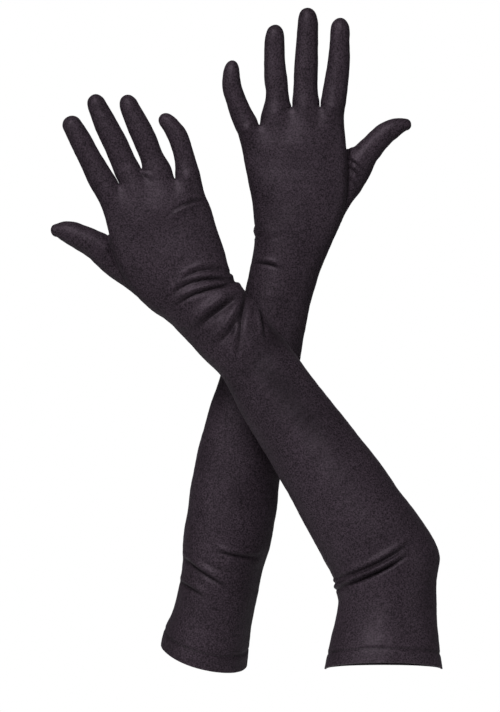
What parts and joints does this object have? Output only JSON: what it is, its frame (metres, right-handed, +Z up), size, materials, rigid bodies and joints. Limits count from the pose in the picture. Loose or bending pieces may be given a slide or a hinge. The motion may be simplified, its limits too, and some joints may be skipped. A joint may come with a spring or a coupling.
{
  "type": "opera gloves",
  "caption": "Pair of long black stretch-satin opera gloves, past the elbow, shown as worn on two raised crossed arms, with bending elbows, wrists, thumbs and fingers.",
  "frame": {"origin": "centre of the right glove's arm opening, at the edge of its hem", "axes": "+Z up the raised arms towards the fingertips, +X to the viewer's right, +Y away from the viewer, from the backs of the hands to the palms"},
  "size_m": [0.3128, 0.1764, 0.5385],
  "materials": {
    "back_satin": "black stretch satin, soft sheen, fine grain, light bending folds",
    "palm_satin": "black stretch satin, soft sheen, fine grain",
    "thumb_satin": "black stretch satin, soft sheen, fine grain",
    "hem_satin": "black stretch satin turned up on itself with one row of stitching",
    "thread": "black sewing thread"
  },
  "bodies": {
    "right_upper_arm": {"right_cuff_hem": "hem_satin", "right_upper_sleeve_back": "back_satin", "right_upper_sleeve_palm": "palm_satin", "right_elbow_back": "back_satin", "right_elbow_palm": "palm_satin"},
    "right_forearm": {"right_forearm_back": "back_satin", "right_forearm_palm": "palm_satin", "right_wrist_back": "back_satin", "right_wrist_palm": "palm_satin"},
    "right_hand": {"right_hand_back": "back_satin", "right_hand_palm": "palm_satin"},
    "right_thumb": {"right_thumb_back": "thumb_satin", "right_thumb_palm": "thumb_satin"},
    "right_index_base": {"right_index_base_back": "back_satin", "right_index_base_palm": "palm_satin"},
    "right_index_tip": {"right_index_tip_back": "back_satin", "right_index_tip_palm": "palm_satin"},
    "right_middle_base": {"right_middle_base_back": "back_satin", "right_middle_base_palm": "palm_satin"},
    "right_middle_tip": {"right_middle_tip_back": "back_satin", "right_middle_tip_palm": "palm_satin"},
    "right_ring_base": {"right_ring_base_back": "back_satin", "right_ring_base_palm": "palm_satin"},
    "right_ring_tip": {"right_ring_tip_back": "back_satin", "right_ring_tip_palm": "palm_satin"},
    "right_little_base": {"right_little_base_back": "back_satin", "right_little_base_palm": "palm_satin"},
    "right_little_tip": {"right_little_tip_back": "back_satin", "right_little_tip_palm": "palm_satin"},
    "left_upper_arm": {"left_cuff_hem": "hem_satin", "left_upper_sleeve_back": "back_satin", "left_upper_sleeve_palm": "palm_satin", "left_elbow_back": "back_satin", "left_elbow_palm": "palm_satin"},
    "left_forearm": {"left_forearm_back": "back_satin", "left_forearm_palm": "palm_satin", "left_wrist_back": "back_satin", "left_wrist_palm": "palm_satin"},
    "left_hand": {"left_hand_back": "back_satin", "left_hand_palm": "palm_satin"},
    "left_thumb": {"left_thumb_back": "thumb_satin", "left_thumb_palm": "thumb_satin"},
    "left_index_base": {"left_index_base_back": "back_satin", "left_index_base_palm": "palm_satin"},
    "left_index_tip": {"left_index_tip_back": "back_satin", "left_index_tip_palm": "palm_satin"},
    "left_middle_base": {"left_middle_base_back": "back_satin", "left_middle_base_palm": "palm_satin"},
    "left_middle_tip": {"left_middle_tip_back": "back_satin", "left_middle_tip_palm": "palm_satin"},
    "left_ring_base": {"left_ring_base_back": "back_satin", "left_ring_base_palm": "palm_satin"},
    "left_ring_tip": {"left_ring_tip_back": "back_satin", "left_ring_tip_palm": "palm_satin"},
    "left_little_base": {"left_little_base_back": "back_satin", "left_little_base_palm": "palm_satin"},
    "left_little_tip": {"left_little_tip_back": "back_satin", "left_little_tip_palm": "palm_satin"}
  },
  "joints": [
    {"name": "gloves_apart", "type": "slide", "parent": "right_upper_arm", "child": "left_upper_arm", "axis": [0, 1, 0], "range_m": [0, 0.15]},
    {"name": "right_elbow", "type": "hinge", "parent": "right_upper_arm", "child": "right_forearm", "pos_m": [-0.0124, 0.0125, 0.0792], "axis": [0, -1, 0], "range_deg": [-30, 60], "deforming": ["right_elbow_back", "right_elbow_palm"]},
    {"name": "left_elbow", "type": "hinge", "parent": "left_upper_arm", "child": "left_forearm", "pos_m": [-0.1188, 0.09, 0.0872], "axis": [0, 1, 0], "range_deg": [-5, 80], "deforming": ["left_elbow_back", "left_elbow_palm"]},
    {"name": "right_wrist", "type": "hinge", "parent": "right_forearm", "child": "right_hand", "pos_m": [-0.13325, 0.026, 0.28175], "axis": [-0.7703, 0, -0.6377], "range_deg": [-55, 55], "deforming": ["right_wrist_back", "right_wrist_palm"]},
    {"name": "left_wrist", "type": "hinge", "parent": "left_forearm", "child": "left_hand", "pos_m": [-0.0825, 0.078, 0.305], "axis": [0.9744, 0, -0.2249], "range_deg": [-55, 55], "deforming": ["left_wrist_back", "left_wrist_palm"]},
    {"name": "right_thumb_root", "type": "hinge", "parent": "right_hand", "child": "right_thumb", "pos_m": [-0.1944, 0.0382, 0.3231], "axis": [0.5029, 0, -0.8644], "range_deg": [0, 45]},
    {"name": "left_thumb_root", "type": "hinge", "parent": "left_hand", "child": "left_thumb", "pos_m": [-0.0455, 0.0916, 0.3889], "axis": [0.0922, 0, 0.9957], "range_deg": [0, 45]},
    {"name": "right_index_knuckle", "type": "hinge", "parent": "right_hand", "child": "right_index_base", "pos_m": [-0.2205, 0.03607, 0.38225], "axis": [-0.8829, 0, -0.4695], "range_deg": [0, 75]},
    {"name": "right_index_middle_joint", "type": "hinge", "parent": "right_index_base", "child": "right_index_tip", "pos_m": [-0.23507, 0.03486, 0.40913], "axis": [-0.8914, 0, -0.4532], "range_deg": [0, 90]},
    {"name": "right_middle_knuckle", "type": "hinge", "parent": "right_hand", "child": "right_middle_base", "pos_m": [-0.202, 0.03625, 0.393], "axis": [-0.9094, 0, -0.416], "range_deg": [0, 75]},
    {"name": "right_middle_middle_joint", "type": "hinge", "parent": "right_middle_base", "child": "right_middle_tip", "pos_m": [-0.21456, 0.03495, 0.42114], "axis": [-0.9091, 0, -0.4167], "range_deg": [0, 90]},
    {"name": "right_ring_knuckle", "type": "hinge", "parent": "right_hand", "child": "right_ring_base", "pos_m": [-0.18, 0.03875, 0.39525], "axis": [-0.9315, 0, -0.3638], "range_deg": [0, 75]},
    {"name": "right_ring_middle_joint", "type": "hinge", "parent": "right_ring_base", "child": "right_ring_tip", "pos_m": [-0.18956, 0.0343, 0.42164], "axis": [-0.9265, 0, -0.3764], "range_deg": [0, 90]},
    {"name": "right_little_knuckle", "type": "hinge", "parent": "right_hand", "child": "right_little_base", "pos_m": [-0.1565, 0.03609, 0.39325], "axis": [-0.9714, 0, -0.2376], "range_deg": [0, 75]},
    {"name": "right_little_middle_joint", "type": "hinge", "parent": "right_little_base", "child": "right_little_tip", "pos_m": [-0.16104, 0.03348, 0.41714], "axis": [-0.9594, 0, -0.2822], "range_deg": [0, 90]},
    {"name": "left_index_knuckle", "type": "hinge", "parent": "left_hand", "child": "left_index_base", "pos_m": [-0.04075, 0.08734, 0.44825], "axis": [-0.9935, 0, 0.1137], "range_deg": [0, 75]},
    {"name": "left_index_middle_joint", "type": "hinge", "parent": "left_index_base", "child": "left_index_tip", "pos_m": [-0.03698, 0.08658, 0.47915], "axis": [-0.9942, 0, 0.1075], "range_deg": [0, 90]},
    {"name": "left_middle_knuckle", "type": "hinge", "parent": "left_hand", "child": "left_middle_base", "pos_m": [-0.062, 0.08888, 0.4495], "axis": [-0.9998, 0, 0.0187], "range_deg": [0, 75]},
    {"name": "left_middle_middle_joint", "type": "hinge", "parent": "left_middle_base", "child": "left_middle_tip", "pos_m": [-0.06199, 0.08695, 0.48265], "axis": [-0.9993, 0, 0.0375], "range_deg": [0, 90]},
    {"name": "left_ring_knuckle", "type": "hinge", "parent": "left_hand", "child": "left_ring_base", "pos_m": [-0.08625, 0.09168, 0.4425], "axis": [-0.9997, 0, -0.0252], "range_deg": [0, 75]},
    {"name": "left_ring_middle_joint", "type": "hinge", "parent": "left_ring_base", "child": "left_ring_tip", "pos_m": [-0.08651, 0.0864, 0.47465], "axis": [-0.9975, 0, -0.0712], "range_deg": [0, 90]},
    {"name": "left_little_knuckle", "type": "hinge", "parent": "left_hand", "child": "left_little_base", "pos_m": [-0.10775, 0.08697, 0.432], "axis": [-0.9342, 0, -0.3568], "range_deg": [0, 75]},
    {"name": "left_little_middle_joint", "type": "hinge", "parent": "left_little_base", "child": "left_little_tip", "pos_m": [-0.11755, 0.08557, 0.45464], "axis": [-0.9433, 0, -0.3319], "range_deg": [0, 90]}
  ],
  "couplings": [
    {"joint": "right_index_middle_joint", "follows": "right_index_knuckle", "ratio": 1.2},
    {"joint": "right_middle_middle_joint", "follows": "right_middle_knuckle", "ratio": 1.2},
    {"joint": "right_ring_middle_joint", "follows": "right_ring_knuckle", "ratio": 1.2},
    {"joint": "right_little_middle_joint", "follows": "right_little_knuckle", "ratio": 1.2},
    {"joint": "left_index_middle_joint", "follows": "left_index_knuckle", "ratio": 1.2},
    {"joint": "left_middle_middle_joint", "follows": "left_middle_knuckle", "ratio": 1.2},
    {"joint": "left_ring_middle_joint", "follows": "left_ring_knuckle", "ratio": 1.2},
    {"joint": "left_little_middle_joint", "follows": "left_little_knuckle", "ratio": 1.2}
  ]
}
